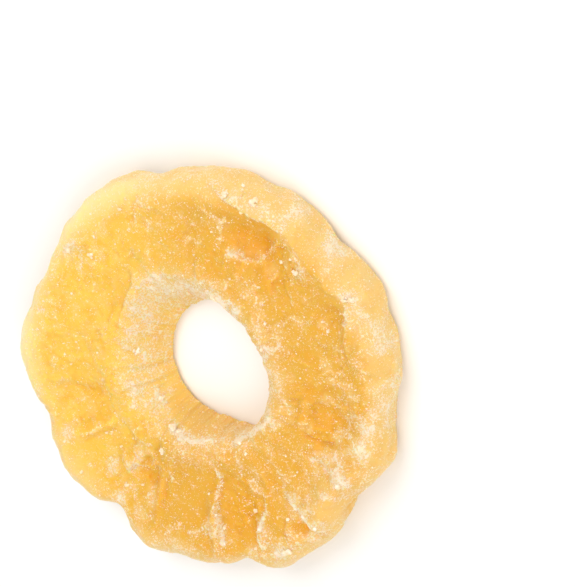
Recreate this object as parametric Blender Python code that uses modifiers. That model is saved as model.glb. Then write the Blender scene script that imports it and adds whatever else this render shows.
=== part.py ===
"""A ring of dried pineapple that lies flat with its craggy face up. Metres and degrees, +Z up.

A turned profile gives the plain ring. Its points are then moved: the outline by lobes and notches, the hole
by a slanted wall that widens upwards, and both faces by their relief. The origin is at the middle of the
ring's box, on the surface that it rests on.
"""

import math

import bpy
import numpy as np

# The plain ring
OUTER_RADIUS = 0.0380
HOLE_RADIUS = 0.0135
THICKNESS = 0.0088
TURN_STEPS = 128
FACE_POINTS = 20
UNDERSIDE_POINTS = 7
CORNER_STEPS = 3

# Its four rounded edges: how far each one reaches along the face and along the wall
OUTER_TOP_EDGE = (0.0036, 0.0040)
OUTER_LOW_EDGE = (0.0024, 0.0026)
HOLE_LOW_EDGE = (0.0018, 0.0020)
HOLE_TOP_EDGE = (0.0024, 0.0030)

# Lobes and notches of the outline: angle, reach, half width
OUTLINE = (
    (14, 0.0012, 9), (29, 0.0021, 8), (57, 0.0015, 12), (78, 0.0009, 9), (100, -0.0010, 6),
    (114, 0.0007, 10), (152, -0.0015, 15), (177, 0.0023, 11), (198, -0.0010, 4), (215, 0.0021, 11),
    (234, -0.0026, 5), (246, 0.0024, 7), (266, 0.0004, 6), (278, -0.0012, 5), (289, 0.0010, 6),
    (323, -0.0027, 10), (338, 0.0005, 8), (353, -0.0013, 8), (214, 0.0009, 80),
)

# The hole: a slanted wall between two circles, given as x, y, radius, and the bulges of each circle's lip
HOLE_TOP = (-0.0003, 0.0, 0.0140)
HOLE_LOW = (0.0020, 0.0009, 0.0115)
TOP_LIP = ((110, 0.0048, 38), (265, -0.0031, 36), (181, 0.0008, 18))
LOW_LIP = ((306, 0.0019, 17), (262, -0.0004, 20))
FUNNEL_POWER = 1.6

# Unevenness of the rind side: waves round the ring, waves up the wall, phase, reach
WALL_WAVES = ((11, 0.4, 0.4, 0.00016), (19, -0.7, 2.3, 0.00015), (31, 1.2, 4.4, 0.00014))
WALL_POWER = 6

# The raised rim and the raised collar, as radius on the plain ring, half width and height
RIM = (0.0343, 0.0036, 0.0009)
COLLAR = (0.0172, 0.0030, 0.0009)
RIM_SWELLS = ((58, 0.0013, 28), (176, 0.0005, 18), (338, 0.0004, 20), (130, -0.0009, 26))
COLLAR_SWELLS = ((20, 0.0006, 60), (250, 0.0005, 25), (112, -0.0008, 34))

# Relief of the craggy face. Each spot: angle, radius, turn from the spoke, half length, half width, height
SPOTS = {
    "hollow behind the rim": (61, 0.0305, 12, 0.0048, 0.0062, -0.0024),
    "shelf in that hollow": (55, 0.0318, 20, 0.0034, 0.0016, 0.0010),
    "round hollow": (197, 0.0265, 0, 0.0058, 0.0060, -0.0019),
    "panel beside it": (217, 0.0290, 0, 0.0050, 0.0040, -0.0009),
    "ledge between them": (208, 0.0275, -8, 0.0060, 0.0013, 0.0008),
    "pit": (237, 0.0250, 20, 0.0034, 0.0018, -0.0015),
    "groove": (242, 0.0245, 14, 0.0100, 0.0012, -0.0010),
    "ridge beside the groove": (246, 0.0290, 10, 0.0056, 0.0013, 0.0009),
    "left ragged ridge": (271, 0.0298, 4, 0.0062, 0.0012, 0.0011),
    "right ragged ridge": (290, 0.0302, -14, 0.0046, 0.0012, 0.0010),
    "wedge between the ridges": (283, 0.0262, 0, 0.0068, 0.0044, -0.0014),
    "flap": (319, 0.0330, 0, 0.0036, 0.0046, 0.0013),
    "edge of the flap": (310, 0.0325, 4, 0.0042, 0.0012, 0.0009),
    "pit under the flap": (305, 0.0332, 0, 0.0017, 0.0014, -0.0016),
    "square panel": (349, 0.0270, 0, 0.0048, 0.0052, -0.0011),
    "crease of the panel": (339, 0.0262, 10, 0.0032, 0.0012, -0.0009),
    "strap by the hole": (346, 0.0218, 80, 0.0036, 0.0012, 0.0008),
    "bar on the right rim": (330, 0.0320, -20, 0.0034, 0.0013, 0.0010),
    "dip on the right": (26, 0.0322, 0, 0.0024, 0.0022, -0.0011),
    "crease on the right": (20, 0.0342, 60, 0.0040, 0.0012, 0.0008),
    "step off the collar": (140, 0.0222, 90, 0.0056, 0.0026, -0.0012),
    "upper swell": (108, 0.0285, 90, 0.0120, 0.0066, 0.0012),
    "upper left swell": (148, 0.0290, 90, 0.0090, 0.0056, 0.0010),
    "left swell": (174, 0.0315, 90, 0.0060, 0.0046, 0.0007),
    "streaks on the left": (186, 0.0310, 6, 0.0034, 0.0012, 0.0006),
}
SPOT_SHARPNESS = 1.6

# Finer unevenness that follows a rule
CRAG_SEED = 11
FACE_CRAGS = 110
CRAG_SIZE = (0.0014, 0.0034)
CRAG_HEIGHTS = (-0.00050, 0.00045)
FIBRE_WAVES = ((19, 0.3, 0.00008), (26, 1.9, 0.00007), (37, 4.1, 0.00006))
FIBRE_TWIST = 60.0

# The underside: shallow hollows between the flat places that the ring rests on
UNDERSIDE_HOLLOWS = 38
HOLLOW_SIZE = (0.0024, 0.0052)
HOLLOW_DEPTHS = (0.0005, 0.0014)
LEVELLED = 0.0003

FLESH_COLOUR = (0.90, 0.52, 0.14, 1.0)
FLESH_ROUGHNESS = 0.5


def corner(centre, reach, first_angle):
    """Points along a rounded edge of the profile, a quarter of an ellipse run clockwise."""
    points = []
    for step in range(CORNER_STEPS + 1):
        angle = math.radians(first_angle - 90 * step / CORNER_STEPS)
        points.append((centre[0] + reach[0] * math.cos(angle), centre[1] + reach[1] * math.sin(angle)))
    return points


def between(start, end, count):
    """Points spread evenly between two others, without the two themselves."""
    shares = [(step + 1) / (count + 1) for step in range(count)]
    return [tuple(a + (b - a) * share for a, b in zip(start, end)) for share in shares]


def ring_profile():
    """The closed profile, which runs out across the face, down the rind side and back underneath."""
    def edge(reach, is_outer, is_top):
        x = OUTER_RADIUS - reach[0] if is_outer else HOLE_RADIUS + reach[0]
        z = THICKNESS - reach[1] if is_top else reach[1]
        first_angle = {(True, True): 90, (True, False): 0, (False, False): 270, (False, True): 180}
        return corner((x, z), reach, first_angle[is_outer, is_top])

    outer_top = edge(OUTER_TOP_EDGE, True, True)
    outer_low = edge(OUTER_LOW_EDGE, True, False)
    hole_low = edge(HOLE_LOW_EDGE, False, False)
    hole_top = edge(HOLE_TOP_EDGE, False, True)
    face = between(hole_top[-1], outer_top[0], FACE_POINTS)
    underside = between(outer_low[-1], hole_low[0], UNDERSIDE_POINTS)
    return face + outer_top + outer_low + underside + hole_low + hole_top


def turned(profile):
    """The plain ring, as a mesh turned from its profile."""
    count = len(profile)
    mesh = bpy.data.meshes.new("ring_profile")
    mesh.from_pydata([(x, 0, z) for x, z in profile], [(i, (i + 1) % count) for i in range(count)], [])
    guide = bpy.data.objects.new("ring_profile", mesh)
    bpy.context.scene.collection.objects.link(guide)
    screw = guide.modifiers.new("turn", "SCREW")
    screw.axis = "Z"
    screw.angle = math.tau
    screw.steps = screw.render_steps = TURN_STEPS
    screw.use_merge_vertices = False
    graph = bpy.context.evaluated_depsgraph_get()
    solid = bpy.data.meshes.new_from_object(guide.evaluated_get(graph))
    bpy.data.objects.remove(guide)
    bpy.data.meshes.remove(mesh)
    return solid


def swell(angle, rows):
    """The sum, at each angle, of smooth bulges given as angle, height and half width."""
    total = np.zeros_like(angle)
    for middle, height, half_width in rows:
        apart = (angle - middle + 180) % 360 - 180
        total += height * np.exp(-((apart / half_width) ** 2))
    return total


def circle_reach(angle, circle):
    """How far the circle given as x, y, radius lies from the ring's middle at each angle."""
    x, y, radius = circle
    along = x * np.cos(np.radians(angle)) + y * np.sin(np.radians(angle))
    across = x * np.sin(np.radians(angle)) - y * np.cos(np.radians(angle))
    return along + np.sqrt(radius**2 - across**2)


def moved_radius(radius, angle, share):
    """Each point's radius once the outline has its lobes and the hole its wall. share is 0 below, 1 on top."""
    width = OUTER_RADIUS - HOLE_RADIUS
    outward = np.clip((radius - HOLE_RADIUS) / width, 0, 1)
    low = circle_reach(angle, HOLE_LOW) + swell(angle, LOW_LIP)
    top = circle_reach(angle, HOLE_TOP) + swell(angle, TOP_LIP)
    hole = low + (top - low) * share**FUNNEL_POWER
    rind = swell(angle, OUTLINE)
    waves = sum(
        reach * np.sin(np.radians(angle) * around + math.tau * upward * share + phase)
        for around, upward, phase, reach in WALL_WAVES
    )
    pushed = outward**2 * rind + outward**WALL_POWER * waves
    return radius + pushed + (1 - outward) ** 1.5 * (hole - HOLE_RADIUS)


def spot_relief(x, y, spots):
    """The height that oval hollows and ridges add at each point of a face."""
    total = np.zeros_like(x)
    for angle, radius, turn, half_length, half_width, height in spots:
        spoke = math.radians(angle)
        heading = math.radians(angle + turn)
        dx = x - radius * math.cos(spoke)
        dy = y - radius * math.sin(spoke)
        along = (dx * math.cos(heading) + dy * math.sin(heading)) / half_length
        across = (dy * math.cos(heading) - dx * math.sin(heading)) / half_width
        total += height * np.exp(-((along**2 + across**2) ** SPOT_SHARPNESS))
    return total


def random_spots(rng, count, size, heights):
    """Oval crags strewn over a face, longer along the spoke than across it."""
    spots = []
    for _ in range(count):
        half_width = rng.uniform(*size)
        spots.append((
            rng.uniform(0, 360), rng.uniform(HOLE_RADIUS + size[1], OUTER_RADIUS), rng.normal(0, 15),
            half_width * rng.uniform(1.0, 1.9), half_width, rng.uniform(*heights),
        ))
    return spots


def ring_band(radius, band, swells, angle):
    """A raised band round the ring, given as radius, half width and height."""
    middle, half_width, height = band
    return (height + swell(angle, swells)) * np.exp(-(((radius - middle) / half_width) ** 2))


def face_relief(plain_radius, angle, x, y, crags):
    """Height of the craggy face above the plain ring's top."""
    bands = ring_band(plain_radius, RIM, RIM_SWELLS, angle) + ring_band(
        plain_radius, COLLAR, COLLAR_SWELLS, angle
    )
    fibres = sum(
        height * np.sin(np.radians(angle) * waves + phase + FIBRE_TWIST * plain_radius)
        for waves, phase, height in FIBRE_WAVES
    )
    return bands + spot_relief(x, y, SPOTS.values()) + spot_relief(x, y, crags) + fibres


def shape(points):
    """The plain ring's points, moved to where the dried ring has them."""
    rng = np.random.default_rng(CRAG_SEED)
    crags = random_spots(rng, FACE_CRAGS, CRAG_SIZE, CRAG_HEIGHTS)
    hollows = random_spots(rng, UNDERSIDE_HOLLOWS, HOLLOW_SIZE, HOLLOW_DEPTHS)
    plain_x, plain_y, z = points.T
    plain_radius = np.hypot(plain_x, plain_y)
    angle = np.degrees(np.arctan2(plain_y, plain_x)) % 360
    share = np.clip(z / THICKNESS, 0, 1)
    radius = moved_radius(plain_radius, angle, share)
    x = radius * np.cos(np.radians(angle))
    y = radius * np.sin(np.radians(angle))
    top = THICKNESS + face_relief(plain_radius, angle, x, y, crags)
    under = np.maximum(spot_relief(x, y, hollows) - LEVELLED, 0)
    height = under + (top - under) * share
    return np.stack([x, y, height], 1)


def centred(points):
    """The points with the middle of their box on the Z axis and their lowest at height 0."""
    low, high = points.min(axis=0), points.max(axis=0)
    return points - np.array([(low[0] + high[0]) / 2, (low[1] + high[1]) / 2, low[2]])


def flesh_material():
    """Translucent golden flesh, matt with dried sugar."""
    material = bpy.data.materials.new("dried_pineapple")
    material.use_nodes = True
    shader = material.node_tree.nodes["Principled BSDF"]
    shader.inputs["Base Color"].default_value = FLESH_COLOUR
    shader.inputs["Roughness"].default_value = FLESH_ROUGHNESS
    shader.inputs["Metallic"].default_value = 0.0
    material.diffuse_color = FLESH_COLOUR
    return material


def pineapple_ring(collection):
    """The whole ring, which is one piece of fruit."""
    mesh = turned(ring_profile())
    points = np.empty(len(mesh.vertices) * 3, np.float32)
    mesh.vertices.foreach_get("co", points)
    moved = centred(shape(points.reshape(-1, 3).astype(np.float64)))
    mesh.vertices.foreach_set("co", moved.astype(np.float32).ravel())
    mesh.name = "pineapple_ring"
    mesh.materials.clear()
    mesh.materials.append(flesh_material())
    mesh.update()
    mesh.shade_smooth()
    ring = bpy.data.objects.new("pineapple_ring", mesh)
    collection.objects.link(ring)
    return ring


def main():
    for obj in list(bpy.data.objects):
        bpy.data.objects.remove(obj)
    collection = bpy.data.collections.new("dried_pineapple")
    bpy.context.scene.collection.children.link(collection)
    pineapple_ring(collection)


main()
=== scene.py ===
"""The looks of a dried pineapple ring: craggy translucent flesh, dried sugar and a pale stage.

Everything is in metres, in the frame's own coordinates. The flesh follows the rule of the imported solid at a
finer step, then gets torn flakes, fibres and grit as real geometry, and geometry nodes strew sugar over it.
"""

import itertools
import math

import bpy
import numpy as np
from bpy.props import FloatProperty, FloatVectorProperty, IntProperty, PointerProperty
from mathutils import Euler, Matrix, Vector
from mathutils.bvhtree import BVHTree


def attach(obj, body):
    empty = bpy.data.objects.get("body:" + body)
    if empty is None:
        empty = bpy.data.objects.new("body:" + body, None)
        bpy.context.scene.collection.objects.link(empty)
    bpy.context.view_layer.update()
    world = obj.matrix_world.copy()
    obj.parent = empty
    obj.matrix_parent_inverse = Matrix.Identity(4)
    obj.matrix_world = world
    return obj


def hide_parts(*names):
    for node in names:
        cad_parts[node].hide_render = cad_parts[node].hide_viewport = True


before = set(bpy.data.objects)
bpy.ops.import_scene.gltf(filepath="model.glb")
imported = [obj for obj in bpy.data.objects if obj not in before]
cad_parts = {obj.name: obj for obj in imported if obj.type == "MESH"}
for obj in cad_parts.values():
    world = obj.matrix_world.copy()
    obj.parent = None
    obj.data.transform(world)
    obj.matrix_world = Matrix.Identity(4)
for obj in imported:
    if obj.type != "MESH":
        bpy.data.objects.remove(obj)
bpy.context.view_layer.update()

bl_info = {
    "name": "Dried pineapple ring",
    "version": (1, 0, 0),
    "blender": (4, 5, 0),
    "location": "3D View > Sidebar > Pineapple",
    "description": "Builds one sugared ring of dried pineapple and the stage that it lies on",
    "category": "Add Mesh",
}

RING_NODE = "pineapple_ring"
BODY = "root"

# The plain ring that the profile turns
OUTER_RADIUS = 0.0380
HOLE_RADIUS = 0.0135
THICKNESS = 0.0088
TURN_MIDDLE = (0.00122, 0.00036)

# Its four rounded edges: how far each one reaches along the face and along the wall
OUTER_TOP_EDGE = (0.0036, 0.0040)
OUTER_LOW_EDGE = (0.0024, 0.0026)
HOLE_LOW_EDGE = (0.0018, 0.0020)
HOLE_TOP_EDGE = (0.0024, 0.0030)

# Lobes and notches of the outline: angle, reach, half width
OUTLINE = (
    (14, 0.0012, 9), (29, 0.0021, 8), (57, 0.0015, 12), (78, 0.0009, 9), (100, -0.0010, 6),
    (114, 0.0007, 10), (152, -0.0015, 15), (177, 0.0023, 11), (198, -0.0010, 4), (215, 0.0021, 11),
    (234, -0.0026, 5), (246, 0.0024, 7), (266, 0.0004, 6), (278, -0.0012, 5), (289, 0.0010, 6),
    (323, -0.0027, 10), (338, 0.0005, 8), (353, -0.0013, 8), (214, 0.0009, 80),
)

# The hole: a slanted wall between two circles, given as x, y, radius, and the bulges of each circle's lip
HOLE_TOP = (-0.0003, 0.0, 0.0140)
HOLE_LOW = (0.0020, 0.0009, 0.0115)
TOP_LIP = ((110, 0.0048, 38), (265, -0.0031, 36), (181, 0.0008, 18))
LOW_LIP = ((306, 0.0019, 17), (262, -0.0004, 20))
FUNNEL_POWER = 1.6
HOLE_POWER = 1.5

# Unevenness of the rind side: waves round the ring, waves up the wall, phase, reach
WALL_WAVES = ((11, 0.4, 0.4, 0.00016), (19, -0.7, 2.3, 0.00015), (31, 1.2, 4.4, 0.00014))
WALL_POWER = 6

# The raised rim and the raised collar, as radius on the plain ring, half width and height
RIM = (0.0343, 0.0036, 0.0009)
COLLAR = (0.0172, 0.0030, 0.0009)
RIM_SWELLS = ((58, 0.0013, 28), (176, 0.0005, 18), (338, 0.0004, 20), (130, -0.0009, 26))
COLLAR_SWELLS = ((20, 0.0006, 60), (250, 0.0005, 25), (112, -0.0008, 34))

# Relief of the craggy face. Each spot: angle, radius, turn from the spoke, half length, half width, height
SPOTS = {
    "hollow behind the rim": (61, 0.0305, 12, 0.0048, 0.0062, -0.0024),
    "shelf in that hollow": (55, 0.0318, 20, 0.0034, 0.0016, 0.0010),
    "round hollow": (197, 0.0265, 0, 0.0058, 0.0060, -0.0019),
    "panel beside it": (217, 0.0290, 0, 0.0050, 0.0040, -0.0009),
    "ledge between them": (208, 0.0275, -8, 0.0060, 0.0013, 0.0008),
    "pit": (237, 0.0250, 20, 0.0034, 0.0018, -0.0015),
    "groove": (242, 0.0245, 14, 0.0100, 0.0012, -0.0010),
    "ridge beside the groove": (246, 0.0290, 10, 0.0056, 0.0013, 0.0009),
    "left ragged ridge": (271, 0.0298, 4, 0.0062, 0.0012, 0.0011),
    "right ragged ridge": (290, 0.0302, -14, 0.0046, 0.0012, 0.0010),
    "wedge between the ridges": (283, 0.0262, 0, 0.0068, 0.0044, -0.0014),
    "flap": (319, 0.0330, 0, 0.0036, 0.0046, 0.0013),
    "edge of the flap": (310, 0.0325, 4, 0.0042, 0.0012, 0.0009),
    "pit under the flap": (305, 0.0332, 0, 0.0017, 0.0014, -0.0016),
    "square panel": (349, 0.0270, 0, 0.0048, 0.0052, -0.0011),
    "crease of the panel": (339, 0.0262, 10, 0.0032, 0.0012, -0.0009),
    "strap by the hole": (346, 0.0218, 80, 0.0036, 0.0012, 0.0008),
    "bar on the right rim": (330, 0.0320, -20, 0.0034, 0.0013, 0.0010),
    "dip on the right": (26, 0.0322, 0, 0.0024, 0.0022, -0.0011),
    "crease on the right": (20, 0.0342, 60, 0.0040, 0.0012, 0.0008),
    "step off the collar": (140, 0.0222, 90, 0.0056, 0.0026, -0.0012),
    "upper swell": (108, 0.0285, 90, 0.0120, 0.0066, 0.0012),
    "upper left swell": (148, 0.0290, 90, 0.0090, 0.0056, 0.0010),
    "left swell": (174, 0.0315, 90, 0.0060, 0.0046, 0.0007),
    "streaks on the left": (186, 0.0310, 6, 0.0034, 0.0012, 0.0006),
}
SPOT_SHARPNESS = 1.6

# Finer unevenness that follows a rule
CRAG_SEED = 11
FACE_CRAGS = 110
CRAG_SIZE = (0.0014, 0.0034)
CRAG_HEIGHTS = (-0.00050, 0.00045)
CRAG_TURN = 15
CRAG_STRETCH = (1.0, 1.9)
FIBRE_WAVES = ((19, 0.3, 0.00008), (26, 1.9, 0.00007), (37, 4.1, 0.00006))
FIBRE_TWIST = 60.0

# The underside: shallow hollows between the flat places that the ring rests on
UNDERSIDE_HOLLOWS = 38
HOLLOW_SIZE = (0.0024, 0.0052)
HOLLOW_DEPTHS = (0.0005, 0.0014)
LEVELLED = 0.0003

# Torn edges and thin ridges on the face. Each: step up to the left of the line, ridge on it, half width of
# that ridge, share of sugar along it, and the line's places as angle, radius
EDGES = {
    "lip over the hollow": (0.0008, 0.0002, 0.0005, 0.5, (
        (82.7, 0.0378), (79.6, 0.0375), (75.4, 0.0364), (70.7, 0.0356), (66.7, 0.0352), (59.9, 0.0356),
        (54.1, 0.0360),
    )),
    "foot of the hollow": (0.0006, 0.0002, 0.0005, 0.7, (
        (53.6, 0.0350), (57.9, 0.0287), (59.4, 0.0270), (63.3, 0.0260), (68.4, 0.0263), (72.6, 0.0249),
    )),
    "plate right of the hollow": (0.0003, 0.0, 0.0005, 0.3, (
        (55.7, 0.0370), (52.7, 0.0362), (50.0, 0.0356), (46.1, 0.0350),
    )),
    "edge of the left panel": (0.0004, 0.0001, 0.0005, 0.4, (
        (187.6, 0.0210), (198.7, 0.0214), (208.5, 0.0214), (215.1, 0.0204), (222.1, 0.0198),
        (225.6, 0.0233), (233.8, 0.0234),
    )),
    "crease on the left": (0.0, 0.0004, 0.0006, 0.6, (
        (207.8, 0.0315), (209.1, 0.0278), (209.0, 0.0237), (208.0, 0.0221),
    )),
    "edge of the pit": (0.0005, 0.0, 0.0006, 0.8, (
        (230.3, 0.0276), (230.9, 0.0253), (233.5, 0.0244), (237.0, 0.0248),
    )),
    "groove": (0.0, -0.0007, 0.0007, 0.0, (
        (241.2, 0.0201), (246.9, 0.0226), (247.9, 0.0292), (246.3, 0.0339),
    )),
    "left torn edge": (-0.0004, 0.0003, 0.0005, 0.9, (
        (275.8, 0.0163), (277.1, 0.0203), (273.9, 0.0233), (272.3, 0.0262), (274.0, 0.0300),
        (274.8, 0.0340),
    )),
    "right torn edge": (0.0005, 0.0003, 0.0005, 0.9, (
        (298.0, 0.0245), (295.6, 0.0272), (292.3, 0.0287), (288.8, 0.0305), (287.8, 0.0345),
    )),
    "edge of the flap": (0.0009, 0.0003, 0.0006, 1.0, (
        (307.5, 0.0265), (307.1, 0.0285), (309.5, 0.0303), (310.5, 0.0322), (310.5, 0.0354),
        (312.9, 0.0363),
    )),
    "top of the flap": (-0.0004, 0.0001, 0.0004, 0.6, (
        (321.3, 0.0300), (323.8, 0.0324), (324.0, 0.0343), (325.0, 0.0355),
    )),
    "foot of the square panel": (0.0007, 0.0, 0.0005, 0.4, (
        (337.7, 0.0225), (337.4, 0.0259), (340.0, 0.0285),
    )),
    "low edge of the collar": (0.0004, 0.0, 0.0005, 0.3, (
        (277.4, 0.0144), (275.9, 0.0184), (279.3, 0.0204),
    )),
    "bar": (0.0, 0.0006, 0.0005, 0.9, ((333.9, 0.0303), (331.6, 0.0328), (330.0, 0.0350))),
    "left edge of the collar": (0.0005, 0.0, 0.0006, 0.1, (
        (120.6, 0.0228), (131.2, 0.0202), (144.1, 0.0190), (154.7, 0.0175), (169.4, 0.0165),
    )),
    "ridge at the top": (0.0002, 0.0002, 0.0005, 0.55, (
        (73.6, 0.0326), (75.6, 0.0300), (74.4, 0.0279), (76.8, 0.0250),
    )),
    "lower lip": (-0.0002, 0.0004, 0.0007, 0.9, (
        (232.4, 0.0123), (241.2, 0.0128), (250.8, 0.0128), (268.4, 0.0125), (274.9, 0.0121),
        (284.1, 0.0125),
    )),
    "right of the lip": (-0.0002, 0.0003, 0.0006, 0.9, (
        (292.6, 0.0135), (304.5, 0.0138), (328.6, 0.0147), (338.8, 0.0158),
    )),
    "seam right of the hole": (0.0, 0.0003, 0.0004, 0.8, ((28.0, 0.0167), (23.6, 0.0191), (25.1, 0.0209))),
    "seam above the hole": (0.0, 0.0003, 0.0005, 0.9, ((78.7, 0.0175), (69.8, 0.0167), (60.5, 0.0165))),
    "top of the right panel": (0.0, 0.0003, 0.0004, 0.3, ((6.0, 0.0243), (8.2, 0.0276), (6.7, 0.0305))),
    "side of the right panel": (0.0, 0.0003, 0.0005, 0.4, ((28.6, 0.0370), (25.0, 0.0352), (20.4, 0.0318))),
    "foot of the left lobe": (0.0, -0.0003, 0.0006, 0.0, (
        (156.0, 0.0358), (154.7, 0.0317), (148.0, 0.0278),
    )),
}
EDGE_FADE = 0.0016
EDGE_STEP_WIDTH = 0.0003
EDGE_TAPER = 0.45
EDGE_SUGAR_WIDTH = 0.00044

# Short torn edges strewn over the face. Headings and bends are in radians from the spoke
TEAR_RADIUS = (0.0185, 0.0345)
TEAR_HEADING = 0.9
TEAR_PARTS = 3
TEAR_LENGTH = (0.0008, 0.0022)
TEAR_BEND = 0.45
TEAR_STEP = (-0.00034, 0.00034)
TEAR_RIDGE = (-0.0001, 0.00022)
TEAR_WIDTH = 0.0004
TEAR_SUGAR = (-0.3, 0.7)

# What each noise adds to the seed, so that no two are alike
NOISE_SEEDS = {
    "push in x": 10, "push in y": 20, "flakes": 50, "fibres": 60, "pits": 70, "grit": 80, "calm": 90,
    "mottle": 110, "amber": 120, "clouds": 130,
}

# Noise that pushes the edges of hollows and ridges about: size, share, step of the seed
RAGGED_LAYERS = ((0.0026, 1.0, 0), (0.0010, 0.5, 5))

# Fine relief: the size of each kind, how far it is drawn out along the spokes, and its strength
FLAKE_SIZE = 0.0034
FLAKE_STRETCH = 1.5
FLAKE_GAIN = 1.7
FLAKE_TREADS = 4
STEEP_FROM = 0.62
FIBRE_SIZE = 0.0009
FIBRE_STRETCH = 6.0
PIT_SIZE = 0.0015
PIT_RANGE = (0.35, 0.75)
PIT_DEPTH = 0.00020
GRIT_SIZE = 0.0009
CALM_SIZE = 0.009
CALM_RANGE = (-0.35, 0.35)
CALM_LEAST = 0.3
BLUR_PASSES = 26

# Soft patches of dried sugar, and clear ones whose share is below 0. Each: angle, radius, turn from the
# spoke, half length, half width, share
FROST = {
    "upper left rim": (138, 0.0340, 90, 0.0030, 0.0016, 0.85),
    "top rim": (103, 0.0375, 90, 0.0030, 0.0012, 0.8),
    "rim on the upper right": (67, 0.0366, 90, 0.0050, 0.0012, 0.5),
    "low on the left": (206, 0.0337, 60, 0.0016, 0.0010, 0.6),
    "left of the pit": (224, 0.0297, 0, 0.0012, 0.0008, 0.8),
    "below the pit": (233, 0.0326, 30, 0.0014, 0.0010, 0.75),
    "right rim": (1, 0.0359, 90, 0.0040, 0.0014, 0.4),
    "lower right": (331, 0.0300, 20, 0.0046, 0.0038, 0.6),
    "low right rim": (344, 0.0349, 90, 0.0040, 0.0020, 0.5),
    "foot of the flap": (308, 0.0300, 30, 0.0034, 0.0020, 0.6),
    "low rim": (294, 0.0358, 90, 0.0036, 0.0014, 0.35),
    "bulge of the rim": (62, 0.0378, 80, 0.0030, 0.0008, 0.5),
    "streak on the right rim": (22, 0.0382, 96, 0.0040, 0.0007, 0.7),
    "streak low on the right": (352, 0.0372, 92, 0.0034, 0.0007, 0.6),
    "funnel": (96, 0.0140, 90, 0.0070, 0.0034, 0.35),
    "above the hole": (58, 0.0169, 90, 0.0050, 0.0018, 0.45),
    "band right of the hole": (12, 0.0166, 92, 0.0090, 0.0016, 0.55),
    "end of that band": (338, 0.0152, 90, 0.0034, 0.0014, 0.5),
    "streak on the right lobe": (342, 0.0325, 60, 0.0042, 0.0010, 0.55),
    "streak on the rind side": (42, 0.0386, 84, 0.0028, 0.0010, 1.2),
    "below the collar": (268, 0.0145, 90, 0.0060, 0.0030, 0.18),
    "below the hollow": (66, 0.0261, 97, 0.0020, 0.0010, 0.5),
    "right of the hollow": (46.6, 0.0337, 74, 0.0022, 0.0012, 0.4),
    "clear top rim": (72, 0.0387, 92, 0.0028, 0.0011, -0.5),
    "clear plate": (50, 0.0368, 58, 0.0024, 0.0015, -0.5),
    "clear bulge": (60, 0.0387, 87, 0.0028, 0.0014, -0.3),
    "clear lobe of the rind side": (34, 0.0385, 94, 0.0034, 0.0018, -0.35),
    "clear outer edge": (26, 0.0400, 83, 0.0034, 0.0012, -0.5),
    "clear left of the hollow": (78, 0.0268, 27, 0.0022, 0.0014, -0.4),
    "clear below the hollow": (46, 0.0270, 132, 0.0026, 0.0013, -0.4),
    "clear on the right rim": (9, 0.0368, 100, 0.0030, 0.0014, -0.5),
    "clear beside it": (18, 0.0350, 87, 0.0020, 0.0009, -0.4),
    "clear middle right": (2, 0.0256, 168, 0.0024, 0.0018, -0.3),
    "clear low right lobe": (345, 0.0374, 95, 0.0038, 0.0015, -0.5),
    "clear flap": (319, 0.0344, 44, 0.0024, 0.0018, -0.5),
    "clear wedge": (282, 0.0286, 171, 0.0044, 0.0026, -0.3),
    "clear left of the wedge": (265, 0.0255, 6, 0.0034, 0.0018, -0.35),
    "clear above the collar": (118, 0.0260, 129, 0.0036, 0.0022, -0.3),
    "clear upper left": (114, 0.0311, 162, 0.0030, 0.0018, -0.3),
    "clear beside the collar": (155, 0.0205, 118, 0.0044, 0.0018, -0.5),
    "clear left": (169, 0.0296, 111, 0.0036, 0.0024, -0.3),
}

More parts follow.
